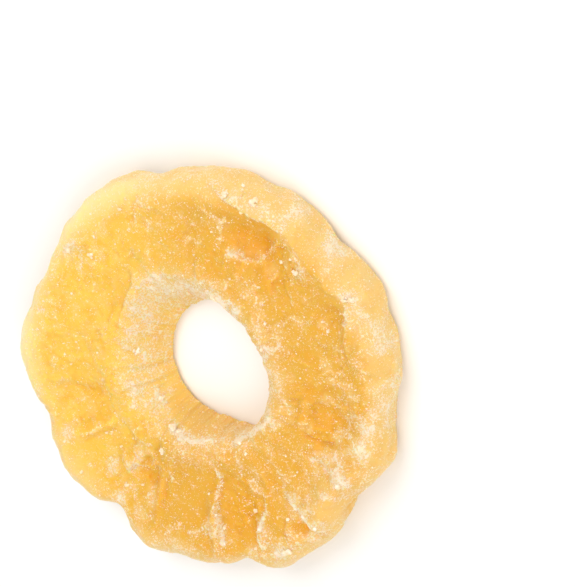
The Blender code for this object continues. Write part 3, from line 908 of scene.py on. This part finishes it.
def sugar_shares(mesh, place, relief, where, shape):
    """Writes how frosted, amber, lemon, pale and glowing each vertex is, and how thickly sugar lies there."""
    angle, _, height_share, (x, y), sugared = where
    seed = noise_seeds(shape)
    reach = np.hypot(place[:, 0], place[:, 1])
    beyond_lip = reach - circle_reach(angle, HOLE_TOP) - swell(angle, TOP_LIP)
    top = smooth_step(height_share, *TOP_PART)
    upper = smooth_step(height_share, *UPPER_PART)
    # The lit side: painted light makes it lighter and more lemon, with less amber
    left = facing(angle, LIT_SIDE)
    rim = smooth_step(reach, *RIM_REACH)
    side = (1 - top) * smooth_step(reach, *SIDE_REACH)
    hole_wall = 1 - smooth_step(reach, *HOLE_WALL_REACH)
    collar = bell(beyond_lip - COLLAR_FROST_BAND[0], COLLAR_FROST_BAND[1]) * (
        COLLAR_FROST_LEAST + swell(angle, COLLAR_FROST)
    )
    patches = upper * sum(spot[5] * spot_share(x, y, spot, FROST_SHARPNESS) for spot in FROST.values())
    flakes, clears = (upper * share for share in fleck_shares(x, y))
    deep = deep_spots(x, y)
    flap = spot_share(x, y, SPOTS["flap"], FROST_SHARPNESS)
    beside = swell(angle, AMBER_BESIDE_COLLAR) * bell(beyond_lip - AMBER_BAND[0], AMBER_BAND[1])
    # Painted light: the glowing edge on the upper left
    glow = swell(angle, GLOW) * smooth_step(reach, *GLOW_REACH)
    glow *= GLOW_BELOW_TOP + (1 - GLOW_BELOW_TOP) * top
    mottle = layered(place, MOTTLE_SIZE, seed["mottle"])
    clouds = layered(place, CLOUD_SIZE, seed["clouds"], layers=2) * (1 - COLLAR_CLOUD_LOSS * collar)
    frost = weighed({
        "everywhere": 1,
        "collar": collar,
        "hole wall": hole_wall * (1 - collar),
        "patches": patches,
        "flakes": flakes,
        "clear spots": clears,
        "ridges": smooth_step(relief, *RIDGE_RELIEF),
        "torn edges": sugared * top,
        "mottle": mottle,
        "clouds": clouds,
        "clouds on the side": clouds * side,
        "side": side,
        "left of the side": left * side,
        "mottle on the side": mottle * side,
        "clear band": swell(angle, CLEAR_BAND) * (1 - smooth_step(reach, *CLEAR_BAND_REACH)),
        "left": left * (1 - collar),
        "deep spots": deep * top,
        "glow": glow,
    }, FROST_WEIGHTS) * smooth_step(place[:, 2], *FROST_FROM)
    # Amber: painted shade in hollows, deep spots, beside the collar and on the low right, and the flesh's own
    # tone in the amber clouds and clear spots
    amber = weighed({
        "hollows": smooth_step(-relief, *HOLLOW_RELIEF),
        "deep spots": deep * top,
        "low right": facing(angle, SHADED_SIDE) * (1 - rim),
        "clouds": layered(place, AMBER_SIZE, seed["amber"]),
        "beside the collar": beside,
        "left": left * (1 - DEEP_LEFT_LOSS * deep),
        "clear spots": clears,
    }, AMBER_WEIGHTS)
    pale = weighed({
        "rim": rim,
        "collar": collar,
        "hole wall": hole_wall,
        "flap": flap * top,
        "flakes": flakes,
        "patches": np.maximum(patches, 0),
    }, PALE_WEIGHTS)
    write_attribute(mesh, "frost", frost)
    write_attribute(mesh, "amber", amber)
    # Lemon towards the lit side: clearer flesh there, and painted light
    write_attribute(mesh, "lemon", smooth_step(left, *LEFT_LEMON) * (1 - RIM_LEMON_LOSS * rim))
    write_attribute(mesh, "pale", pale)
    write_attribute(mesh, "glow", glow)
    shown = smooth_step(place[:, 2], *SUGAR_FROM)
    frost = np.clip(frost, 0, 1)
    sugar = weighed({"everywhere": 1, "frost": frost**SUGAR_POWER}, SUGAR_WEIGHTS)
    crumbs = weighed({
        "everywhere": 1,
        "torn edges": sugared**2 * top,
        "thick frost": frost**3,
    }, CRUMB_WEIGHTS)
    write_attribute(mesh, "sugar", sugar * shown)
    write_attribute(mesh, "crumbs", crumbs * shown)


def flesh_mesh(shape):
    """The ring's flesh with all its relief and its attributes."""
    profile = ring_profile()
    mesh = turned(profile, shape.turn_steps)
    points = np.empty(len(mesh.vertices) * 3, np.float32)
    mesh.vertices.foreach_get("co", points)
    place, where = coarse_flesh(points.reshape(-1, 3).astype(np.float64), shape)
    mesh.vertices.foreach_set("co", place.astype(np.float32).ravel())
    mesh.update()
    normals = mesh_normals(mesh)
    standing = fine_relief(place, *where[:3], shape)
    standing *= smooth_step(place[:, 2], *RELIEF_FROM)
    place = place + normals * standing[:, None]
    place[:, 2] = np.maximum(place[:, 2], 0)
    relief = ((place - grid_blur(place, len(profile), BLUR_PASSES)) * normals).sum(axis=1)
    sugar_shares(mesh, place, relief, where, shape)
    place[:, :2] += TURN_MIDDLE
    mesh.vertices.foreach_set("co", place.astype(np.float32).ravel())
    mesh.materials.clear()
    mesh.update()
    mesh.shade_smooth()
    return mesh


# Materials

# Each noise texture: size of its bumps in metres, detail, distortion
NOISES = {
    "fibres": (0.0006, 3.0, 0.3), "mottle": (0.0020, 4.0, 0.5), "shade_lines": (0.0038, 4.0, 0.8),
    "fine sugar": (0.00036, 2.0, 0.5), "patchy sugar": (0.0020, 4.0, 0.6), "sugar flakes": (0.0010, 3.0, 0.2),
    "crystal tone": (0.0012, 1.0, 0.0),
}
NOISE_ROUGHNESS = 0.65
# The noise is turned, because its grid would show where it lies level with the face
NOISE_TURN = (0.6, 0.4, 0.9)

# The strength of each tint that lies over the one before it, and where the thin lines of painted shade and
# the milky clouds begin and end
SHADE_LINE_TINT = 0.30
AMBER_TINT = 0.95
PALE_TINT = 0.8
MILKY_TINT = 0.32
CLEAR_TINT = 0.42
SHADE_LINE_RANGE = (0.44, 0.66)
CLOUDY_RANGE = (0.47, 0.62)

# Dried sugar: its patchiness, how strong its veil and specks are, and where each begins and ends
# The specks are dried sugar, and also stand in for small glints on the flesh: partly painted highlights
PATCHINESS = 1.25
GRAIN_CONTRAST = 3.4
GRAIN_ON_FROST = 0.9
FLAKE_ON_FROST = 0.22
VEIL_RANGE = (0.02, 0.80)
SPECK_RANGE = (0.40, 0.85)
FLAKE_RANGE = (0.67, 0.76)
FLAKE_STRENGTH = 0.8
SPECK_HEIGHT = 0.5
VEIL_STRENGTH = 0.72
SPECK_STRENGTH = 0.78

# How the flesh shines and scatters light, first where it is clear and then where sugar covers it
ROUGHNESS = (0.30, 0.72)
SCATTER = (0.88, 0.42)
SCATTER_RADIUS = (1.0, 0.48, 0.14)
SCATTER_SCALE = 0.0020
SPECULAR = 0.26
BUMP_FROST = (0.05, 0.6)
BUMP_STRENGTH = (0.5, 1.0)
BUMP_DISTANCE = 0.00013
MOTTLE_HEIGHT = 3.0
FIBRE_BUMP = 0.9

# Crystals: where the frost's colour begins and ends in their noise, its strength, and their roughness
CRYSTAL_RANGE = (0.3, 0.7)
CRYSTAL_TINT = 0.6
CRYSTAL_ROUGHNESS = 0.35


def new_material(name):
    """An empty node material, as material, node tree and Principled BSDF."""
    material = bpy.data.materials.new(name)
    material.use_nodes = True
    tree = material.node_tree
    return material, tree, tree.nodes["Principled BSDF"]


def new_group(name, inputs, outputs):
    """A shader node group with named float sockets, as tree, group input and group output."""
    tree = bpy.data.node_groups.new(name, "ShaderNodeTree")
    for label, default in inputs:
        socket = tree.interface.new_socket(label, in_out="INPUT", socket_type="NodeSocketFloat")
        socket.default_value = default
    for label in outputs:
        tree.interface.new_socket(label, in_out="OUTPUT", socket_type="NodeSocketFloat")
    return tree, tree.nodes.new("NodeGroupInput"), tree.nodes.new("NodeGroupOutput")


def fill(tree, socket, value):
    """Gives a socket another node's output, a colour or a number."""
    if isinstance(value, bpy.types.NodeSocket):
        tree.links.new(value, socket)
    elif socket.type == "RGBA":
        socket.default_value = (*value, 1)
    else:
        socket.default_value = value


def object_coordinates(tree):
    """The output that gives places in the piece's own metres."""
    return tree.nodes.new("ShaderNodeTexCoord").outputs["Object"]


def noise_node(tree, name, place=None):
    """One of the noise textures, on object coordinates unless a place is given."""
    size, detail, distortion = NOISES[name]
    texture = tree.nodes.new("ShaderNodeTexNoise")
    turned_place = tree.nodes.new("ShaderNodeMapping")
    for node, label, value in (
        (texture, "Scale", 1 / size), (texture, "Detail", detail), (texture, "Roughness", NOISE_ROUGHNESS),
        (texture, "Distortion", distortion), (turned_place, "Rotation", NOISE_TURN),
        (turned_place, "Vector", place or object_coordinates(tree)),
        (texture, "Vector", turned_place.outputs["Vector"]),
    ):
        fill(tree, node.inputs[label], value)
    return texture.outputs["Fac"]


def math_node(tree, operation, *values):
    """A Math node whose inputs are numbers or other nodes' outputs."""
    node = tree.nodes.new("ShaderNodeMath")
    node.operation = operation
    for socket, value in zip(node.inputs, values):
        fill(tree, socket, value)
    return node.outputs[0]


def times(tree, first, second):
    """The product of two numbers or outputs."""
    return math_node(tree, "MULTIPLY", first, second)


def plus(tree, first, second):
    """The sum of two numbers or outputs."""
    return math_node(tree, "ADD", first, second)


def remapped(tree, value, given, wanted=(0.0, 1.0)):
    """A value mapped smoothly from one range to another."""
    node = tree.nodes.new("ShaderNodeMapRange")
    node.interpolation_type = "SMOOTHSTEP"
    fill(tree, node.inputs["Value"], value)
    for label, number in zip(("From Min", "From Max", "To Min", "To Max"), (*given, *wanted)):
        fill(tree, node.inputs[label], number)
    return node.outputs["Result"]


def mixed_colour(tree, share, first, second):
    """Two colours, each a tuple or an output, mixed by a share."""
    node = tree.nodes.new("ShaderNodeMix")
    node.data_type = "RGBA"
    colour_inputs = [socket for socket in node.inputs if socket.type == "RGBA"]
    for socket, value in zip((node.inputs[0], *colour_inputs), (share, first, second)):
        fill(tree, socket, value)
    return next(socket for socket in node.outputs if socket.type == "RGBA")


def attribute_share(tree, name):
    """The piece's own attribute of that name."""
    node = tree.nodes.new("ShaderNodeAttribute")
    node.attribute_name = name
    return node.outputs["Fac"]


def fibre_group():
    """Fibres along the spokes, as a value from 0 to 1."""
    tree, given, out = new_group("spoke_fibres", (("Stretch", FIBRE_STRETCH),), ("Value",))
    apart = tree.nodes.new("ShaderNodeSeparateXYZ")
    fill(tree, apart.inputs[0], object_coordinates(tree))
    x, y = (math_node(tree, "SUBTRACT", apart.outputs[axis], TURN_MIDDLE[axis]) for axis in (0, 1))
    turn = math_node(tree, "ARCTAN2", y, x)
    reach = math_node(tree, "SQRT", plus(tree, times(tree, x, x), times(tree, y, y)))
    drawn = math_node(tree, "DIVIDE", plus(tree, reach, apart.outputs["Z"]), given.outputs["Stretch"])
    ring = (OUTER_RADIUS + HOLE_RADIUS) / 2
    place = tree.nodes.new("ShaderNodeCombineXYZ")
    fill(tree, place.inputs["X"], times(tree, math_node(tree, "COSINE", turn), ring))
    fill(tree, place.inputs["Y"], times(tree, math_node(tree, "SINE", turn), ring))
    fill(tree, place.inputs["Z"], drawn)
    fill(tree, out.inputs["Value"], noise_node(tree, "fibres", place.outputs[0]))
    return tree


# Its specks are dried sugar and partly painted highlights that stand in for glints
def sugar_group():
    """Dried sugar: its soft veil, the sharp specks and flakes on it, and their height for a bump."""
    tree, given, out = new_group("dried_sugar", (("Frost", 0.3),), ("Veil", "Specks", "Height"))
    fine, patchy = noise_node(tree, "fine sugar"), noise_node(tree, "patchy sugar")
    uneven = times(tree, math_node(tree, "SUBTRACT", patchy, 0.5), PATCHINESS)
    amount = plus(tree, given.outputs["Frost"], uneven)
    grain = times(tree, math_node(tree, "SUBTRACT", fine, 0.5), GRAIN_CONTRAST)
    specks = remapped(tree, plus(tree, grain, times(tree, amount, GRAIN_ON_FROST)), SPECK_RANGE)
    flakes = plus(tree, noise_node(tree, "sugar flakes"), times(tree, amount, FLAKE_ON_FROST))
    flakes = remapped(tree, flakes, FLAKE_RANGE, (0.0, FLAKE_STRENGTH))
    specks = math_node(tree, "MAXIMUM", specks, flakes)
    fill(tree, out.inputs["Veil"], remapped(tree, amount, VEIL_RANGE))
    fill(tree, out.inputs["Specks"], specks)
    fill(tree, out.inputs["Height"], plus(tree, times(tree, specks, SPECK_HEIGHT), fine))
    return tree


def place_group(tree, group, **values):
    """The outputs of a group in a material, with its inputs set or linked."""
    node = tree.nodes.new("ShaderNodeGroup")
    node.node_tree = group
    for name, value in values.items():
        fill(tree, node.inputs[name], value)
    return node.outputs


def flesh_material(colours):
    """Translucent flesh, lemon to amber, under a frost of dried sugar."""
    material, tree, shader = new_material("pineapple_flesh")
    frost, amber, lemon, pale, glow = (
        attribute_share(tree, name) for name in ("frost", "amber", "lemon", "pale", "glow")
    )
    fibres = place_group(tree, fibre_group(), Stretch=FIBRE_STRETCH)["Value"]
    sugar = place_group(tree, sugar_group(), Frost=frost)
    mottle = noise_node(tree, "mottle")
    shade_lines = remapped(tree, noise_node(tree, "shade_lines"), SHADE_LINE_RANGE)
    cloudy = remapped(tree, mottle, CLOUDY_RANGE)

    base = mixed_colour(tree, lemon, colours.gold, colours.lemon)
    for share, colour in (
        # Thin darker amber lines strewn at random: painted shade, like that in the crevices between flakes
        (times(tree, shade_lines, SHADE_LINE_TINT), colours.amber),
        # The amber attribute: painted shade in the hollows and on the low right, and the flesh's own amber
        (times(tree, amber, AMBER_TINT), colours.amber),
        (times(tree, pale, PALE_TINT), colours.pale),
        (times(tree, cloudy, times(tree, lemon, MILKY_TINT)), colours.pale),
        (times(tree, cloudy, times(tree, pale, CLEAR_TINT)), colours.gold),
        # Painted light: the glowing edge
        (glow, colours.glow),
    ):
        base = mixed_colour(tree, share, base, colour)
    veil = times(tree, sugar["Veil"], VEIL_STRENGTH)
    # The pale specks are dried sugar, and also stand in for the small glints on the flesh: partly painted
    # highlights
    specks = times(tree, sugar["Specks"], SPECK_STRENGTH)
    veiled = mixed_colour(tree, veil, base, colours.frost)
    cover = math_node(tree, "MAXIMUM", veil, specks)

    height = plus(tree, sugar["Height"], times(tree, mottle, MOTTLE_HEIGHT))
    bump = tree.nodes.new("ShaderNodeBump")
    fill(tree, bump.inputs["Strength"], remapped(tree, frost, BUMP_FROST, BUMP_STRENGTH))
    fill(tree, bump.inputs["Distance"], BUMP_DISTANCE)
    fill(tree, bump.inputs["Height"], plus(tree, height, times(tree, fibres, FIBRE_BUMP)))

    shader.subsurface_method = "RANDOM_WALK"
    for label, value in (
        ("Base Color", mixed_colour(tree, specks, veiled, colours.crystal)),
        ("Roughness", remapped(tree, cover, (0.0, 1.0), ROUGHNESS)),
        ("Specular IOR Level", SPECULAR),
        ("Subsurface Weight", remapped(tree, frost, (0.0, 1.0), SCATTER)),
        ("Subsurface Radius", SCATTER_RADIUS),
        ("Subsurface Scale", SCATTER_SCALE),
        ("Normal", bump.outputs["Normal"]),
    ):
        fill(tree, shader.inputs[label], value)
    return material


def crystal_material(colours):
    """White, slightly clear sugar crystals."""
    material, tree, shader = new_material("sugar_crystal")
    tone = remapped(tree, noise_node(tree, "crystal tone"), CRYSTAL_RANGE, (0.0, CRYSTAL_TINT))
    fill(tree, shader.inputs["Base Color"], mixed_colour(tree, tone, colours.crystal, colours.frost))
    fill(tree, shader.inputs["Roughness"], CRYSTAL_ROUGHNESS)
    return material


# Sugar

# A grain is a small turned sphere: sides, rings, its least and greatest stretch, and how far it sinks in
GRAIN_SIDES = 4
GRAIN_RINGS = 2
GRAIN_LEAST = (0.45, 0.45, 0.45)
GRAIN_MOST = (2.0, 1.2, 1.4)
GRAIN_SINK = -0.15

# A crystal past this half width is a lump of several. Sizes are shares of that half width
LUMP_FROM = 0.0004
LUMP_BITS = 16
LUMP_SPREAD = 0.8
LUMP_BIT_SIZES = (0.2, 0.5)
CRYSTAL_SIZES = (0.5, 1.0)
CRYSTAL_STAND = 0.1
STRAY_RADIUS = (0.0165, 0.0370)
STRAY_SIZES = (0.00007, 0.00020)
ABOVE_ALL = 0.05


def strewing_tree():
    """A geometry node tree that strews grains where an attribute of the surface says."""
    tree = bpy.data.node_groups.new("sugar_strewer", "GeometryNodeTree")
    tree.interface.new_socket("Geometry", in_out="INPUT", socket_type="NodeSocketGeometry")
    for label, kind in (
        ("Attribute", "NodeSocketString"), ("Density", "NodeSocketFloat"), ("Size", "NodeSocketFloat"),
        ("Sink", "NodeSocketFloat"), ("Seed", "NodeSocketInt"), ("Material", "NodeSocketMaterial"),
    ):
        tree.interface.new_socket(label, in_out="INPUT", socket_type=kind)
    tree.interface.new_socket("Geometry", in_out="OUTPUT", socket_type="NodeSocketGeometry")
    make, link = tree.nodes.new, tree.links.new
    given, out = make("NodeGroupInput"), make("NodeGroupOutput")
    share = make("GeometryNodeInputNamedAttribute")
    share.data_type = "FLOAT"
    link(given.outputs["Attribute"], share.inputs["Name"])
    density = times(tree, share.outputs["Attribute"], given.outputs["Density"])
    spread = make("GeometryNodeDistributePointsOnFaces")
    link(given.outputs["Geometry"], spread.inputs["Mesh"])
    link(density, spread.inputs["Density"])
    link(given.outputs["Seed"], spread.inputs["Seed"])
    inward = make("ShaderNodeVectorMath")
    inward.operation = "SCALE"
    link(spread.outputs["Normal"], inward.inputs[0])
    link(given.outputs["Sink"], inward.inputs["Scale"])
    sunk = make("GeometryNodeSetPosition")
    link(spread.outputs["Points"], sunk.inputs["Geometry"])
    link(inward.outputs[0], sunk.inputs["Offset"])
    grain = make("GeometryNodeMeshUVSphere")
    grain.inputs["Segments"].default_value = GRAIN_SIDES
    grain.inputs["Rings"].default_value = GRAIN_RINGS
    link(given.outputs["Size"], grain.inputs["Radius"])
    sizes = make("FunctionNodeRandomValue")
    sizes.data_type = "FLOAT_VECTOR"
    sizes.inputs["Min"].default_value = GRAIN_LEAST
    sizes.inputs["Max"].default_value = GRAIN_MOST
    link(given.outputs["Seed"], sizes.inputs["Seed"])
    turns = make("FunctionNodeRandomValue")
    turns.data_type = "FLOAT_VECTOR"
    turns.inputs["Max"].default_value = (math.tau, math.tau, math.tau)
    copies = make("GeometryNodeInstanceOnPoints")
    link(sunk.outputs["Geometry"], copies.inputs["Points"])
    link(grain.outputs["Mesh"], copies.inputs["Instance"])
    link(turns.outputs["Value"], copies.inputs["Rotation"])
    link(sizes.outputs["Value"], copies.inputs["Scale"])
    real = make("GeometryNodeRealizeInstances")
    link(copies.outputs["Instances"], real.inputs["Geometry"])
    painted = make("GeometryNodeSetMaterial")
    link(real.outputs["Geometry"], painted.inputs["Geometry"])
    link(given.outputs["Material"], painted.inputs["Material"])
    link(painted.outputs["Geometry"], out.inputs["Geometry"])
    return tree


def strewn(name, surface, tree, values):
    """A plain mesh object of the grains that the tree strews over the surface."""
    guide = placed(name + "_guide", surface)
    modifier = guide.modifiers.new("strew", "NODES")
    modifier.node_group = tree
    for item in tree.interface.items_tree:
        if item.in_out == "INPUT" and item.name in values:
            modifier[item.identifier] = values[item.name]
    graph = bpy.context.evaluated_depsgraph_get()
    mesh = bpy.data.meshes.new_from_object(guide.evaluated_get(graph))
    mesh.name = name
    bpy.data.objects.remove(guide)
    return placed(name, mesh)


def box(place, half_sizes, rng):
    """The corners and faces of a box turned at random."""
    turned_to = Euler(rng.uniform(0, math.tau, 3)).to_matrix()
    corners = [
        place + turned_to @ Vector([side * half for side, half in zip(sides, half_sizes)])
        for sides in itertools.product((-1, 1), repeat=3)
    ]
    return corners, [(0, 1, 3, 2), (4, 6, 7, 5), (0, 4, 5, 1), (2, 3, 7, 6), (0, 2, 6, 4), (1, 5, 7, 3)]


def crystal_mesh(surface, rows, rng):
    """Single crystals, and lumps of several where they are large, half sunk in the surface below them."""
    places = [vertex.co for vertex in surface.vertices]
    tree = BVHTree.FromPolygons(places, [list(face.vertices) for face in surface.polygons])
    corners, faces = [], []
    for angle, radius, half in rows:
        turn = math.radians(angle)
        x, y = TURN_MIDDLE[0] + radius * math.cos(turn), TURN_MIDDLE[1] + radius * math.sin(turn)
        foot, normal = tree.ray_cast(Vector((x, y, ABOVE_ALL)), Vector((0, 0, -1)))[:2]
        if foot is None:
            raise RuntimeError(f"No flesh below the crystal at {angle} degrees")
        lump = half > LUMP_FROM
        spread = half if lump else 0
        for _ in range(LUMP_BITS if lump else 1):
            aside = Vector(rng.uniform(-spread, spread, 3)) * LUMP_SPREAD
            sizes = half * rng.uniform(*(LUMP_BIT_SIZES if lump else CRYSTAL_SIZES), 3)
            box_corners, box_faces = box(foot + aside + normal * half * CRYSTAL_STAND, sizes, rng)
            faces += [[len(corners) + index for index in face] for face in box_faces]
            corners += box_corners
    mesh = bpy.data.meshes.new("sugar_crystals")
    mesh.from_pydata(corners, [], faces)
    return mesh


def riding(piece):
    """The finished piece, told to ride on the ring's body."""
    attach(piece, BODY)
    return piece


# The stage

# The picture's size and where the ring's middle lies in it, in pixels, and the camera's sensor
PICTURE_SIZE = (575, 587)
RING_PIXEL = (209, 370)
SENSOR_WIDTH = 0.036
NEAREST_SEEN = 0.01
MIDDLE_HEIGHT = 0.005

# Each light: the way to it as right, up and back, its distance and its size
LIGHTS = {"key": ((-0.45, 0.35, 0.8), 0.6, 0.35), "fill": ((0.2, -0.7, 0.9), 0.9, 0.7)}
LIGHT_COLOUR = (0.99, 0.99, 1)
SKY_COLOUR = (1, 0.98, 0.955, 1)
FLOOR_REACH = 1.5
FLOOR_ROUGHNESS = 0.7


def camera_axes(view):
    """The camera's right, up and backward directions, turned so that the ring looks as in the photo."""
    across = view.turn - math.pi / 2
    level = Vector((math.cos(across), math.sin(across), 0))
    lean = Vector((math.cos(view.turn), math.sin(view.turn), 0))
    up = Vector((0, 0, 1))
    backward = math.sin(view.tilt) * lean + math.cos(view.tilt) * up
    slope = math.cos(view.tilt) * lean - math.sin(view.tilt) * up
    right = math.cos(across) * level + math.cos(view.turn) * slope
    upward = math.sin(across) * level + math.sin(view.turn) * slope
    return right, upward, backward


def add_camera(view):
    """The camera, at the photo's distance and angle, with the ring where the photo has it."""
    width, height = PICTURE_SIZE
    right, upward, backward = camera_axes(view)
    aim = Vector((*TURN_MIDDLE, MIDDLE_HEIGHT))
    beside = (RING_PIXEL[0] - width / 2) * view.pixel_size
    above = (height / 2 - RING_PIXEL[1]) * view.pixel_size
    place = aim + view.distance * backward - beside * right - above * upward
    data = bpy.data.cameras.new("camera")
    data.sensor_fit = "AUTO"
    data.sensor_width = SENSOR_WIDTH * 1000
    data.lens = SENSOR_WIDTH * 1000 * view.distance / view.pixel_size / max(width, height)
    data.clip_start = NEAREST_SEEN
    camera = placed("camera", data)
    turned_to = Matrix((right, upward, backward)).transposed().to_4x4()
    camera.matrix_world = Matrix.Translation(place) @ turned_to
    bpy.context.scene.camera = camera


def add_light(name, axes, power):
    """A square soft light that faces the ring."""
    way, distance, size = LIGHTS[name]
    direction = sum((share * axis for share, axis in zip(way, axes)), Vector())
    data = bpy.data.lights.new(name, "AREA")
    data.shape = "SQUARE"
    data.size = size
    data.energy = power
    data.color = LIGHT_COLOUR
    light = placed(name, data)
    light.location = direction.normalized() * distance
    light.rotation_euler = direction.to_track_quat("Z", "Y").to_euler()


def floor_mesh(colour):
    """A plain level square."""
    material, _, shader = new_material("floor")
    shader.inputs["Base Color"].default_value = (*colour, 1)
    shader.inputs["Roughness"].default_value = FLOOR_ROUGHNESS
    corners = [(x * FLOOR_REACH, y * FLOOR_REACH, 0) for x, y in ((-1, -1), (1, -1), (1, 1), (-1, 1))]
    mesh = bpy.data.meshes.new("floor")
    mesh.from_pydata(corners, [], [(0, 1, 2, 3)])
    mesh.materials.append(material)
    return mesh


# Operators


class PINEAPPLE_OT_flesh(bpy.types.Operator):
    """Makes the ring's flesh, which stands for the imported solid"""

    bl_idname = "pineapple.flesh"
    bl_label = "Flesh"

    def execute(self, context):
        scene = context.scene
        mesh = flesh_mesh(scene.pineapple_shape)
        mesh.name = "flesh"
        mesh.materials.append(flesh_material(scene.pineapple_colours))
        flesh = riding(placed("flesh", mesh))
        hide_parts(RING_NODE)
        return {"FINISHED"}


class PINEAPPLE_OT_sugar(bpy.types.Operator):
    """Strews fine dust and crumbs of sugar over the flesh"""

    bl_idname = "pineapple.sugar"
    bl_label = "Sugar"

    def execute(self, context):
        scene = context.scene
        amounts = scene.pineapple_sugar
        surface = bpy.data.objects["flesh"].data
        tree = strewing_tree()
        crystal = crystal_material(scene.pineapple_colours)
        for name, attribute, density, size, seed in (
            ("sugar_dust", "sugar", amounts.dust_density, amounts.dust_size, 0),
            ("sugar_crumbs", "crumbs", amounts.crumb_density, amounts.crumb_size, 1),
            ("sugar_powder", "sugar", amounts.powder_density, amounts.powder_size, 2),
        ):
            riding(strewn(name, surface, tree, {
                "Attribute": attribute, "Density": density, "Size": size, "Sink": GRAIN_SINK * size,
                "Seed": amounts.seed + seed, "Material": crystal,
            }))
        return {"FINISHED"}


class PINEAPPLE_OT_crystals(bpy.types.Operator):
    """Adds the larger sugar crystals and lumps, each at its own place"""

    bl_idname = "pineapple.crystals"
    bl_label = "Crystals"

    def execute(self, context):
        scene = context.scene
        amounts = scene.pineapple_sugar
        rng = np.random.default_rng(amounts.seed)
        strays = [
            (rng.uniform(0, 360), rng.uniform(*STRAY_RADIUS), rng.uniform(*STRAY_SIZES))
            for _ in range(amounts.stray_crystals)
        ]
        mesh = crystal_mesh(bpy.data.objects["flesh"].data, [*CRYSTALS, *strays], rng)
        mesh.materials.append(bpy.data.materials["sugar_crystal"])
        riding(placed("sugar_crystals", mesh))
        return {"FINISHED"}


class PINEAPPLE_OT_stage(bpy.types.Operator):
    """Adds the pale floor, the soft lights and the camera"""

    bl_idname = "pineapple.stage"
    bl_label = "Stage"

    def execute(self, context):
        scene = context.scene
        view = scene.pineapple_stage
        add_camera(view)
        add_light("key", camera_axes(view), view.key_power)
        add_light("fill", camera_axes(view), view.fill_power)
        world = bpy.data.worlds.new("even_light")
        world.use_nodes = True
        background = world.node_tree.nodes["Background"]
        background.inputs["Color"].default_value = SKY_COLOUR
        background.inputs["Strength"].default_value = view.sky
        scene.world = world
        scene.view_settings.view_transform = "Standard"
        floor = placed("floor", floor_mesh(view.floor_colour))
        return {"FINISHED"}


class PINEAPPLE_PT_panel(bpy.types.Panel):
    """Lists the steps that build the ring"""

    bl_idname = "PINEAPPLE_PT_panel"
    bl_label = "Dried pineapple ring"
    bl_space_type = "VIEW_3D"
    bl_region_type = "UI"
    bl_category = "Pineapple"

    def draw(self, context):
        scene = context.scene
        for settings_name, kind in SETTINGS.items():
            for name in kind.__annotations__:
                self.layout.prop(getattr(scene, settings_name), name)
        for operator in OPERATORS:
            self.layout.operator(operator.bl_idname)


SETTINGS = {
    "pineapple_shape": RingShape,
    "pineapple_colours": FleshColours,
    "pineapple_sugar": SugarStrewing,
    "pineapple_stage": StageView,
}
OPERATORS = (PINEAPPLE_OT_flesh, PINEAPPLE_OT_sugar, PINEAPPLE_OT_crystals, PINEAPPLE_OT_stage)


def register():
    for kind in (*SETTINGS.values(), *OPERATORS, PINEAPPLE_PT_panel):
        bpy.utils.register_class(kind)
    for name, kind in SETTINGS.items():
        setattr(bpy.types.Scene, name, PointerProperty(type=kind))


def unregister():
    for name in SETTINGS:
        delattr(bpy.types.Scene, name)
    for kind in reversed((*SETTINGS.values(), *OPERATORS, PINEAPPLE_PT_panel)):
        bpy.utils.unregister_class(kind)


def main():
    register()
    bpy.ops.pineapple.flesh()
    bpy.ops.pineapple.sugar()
    bpy.ops.pineapple.crystals()
    bpy.ops.pineapple.stage()


if __name__ == "__main__":
    main()
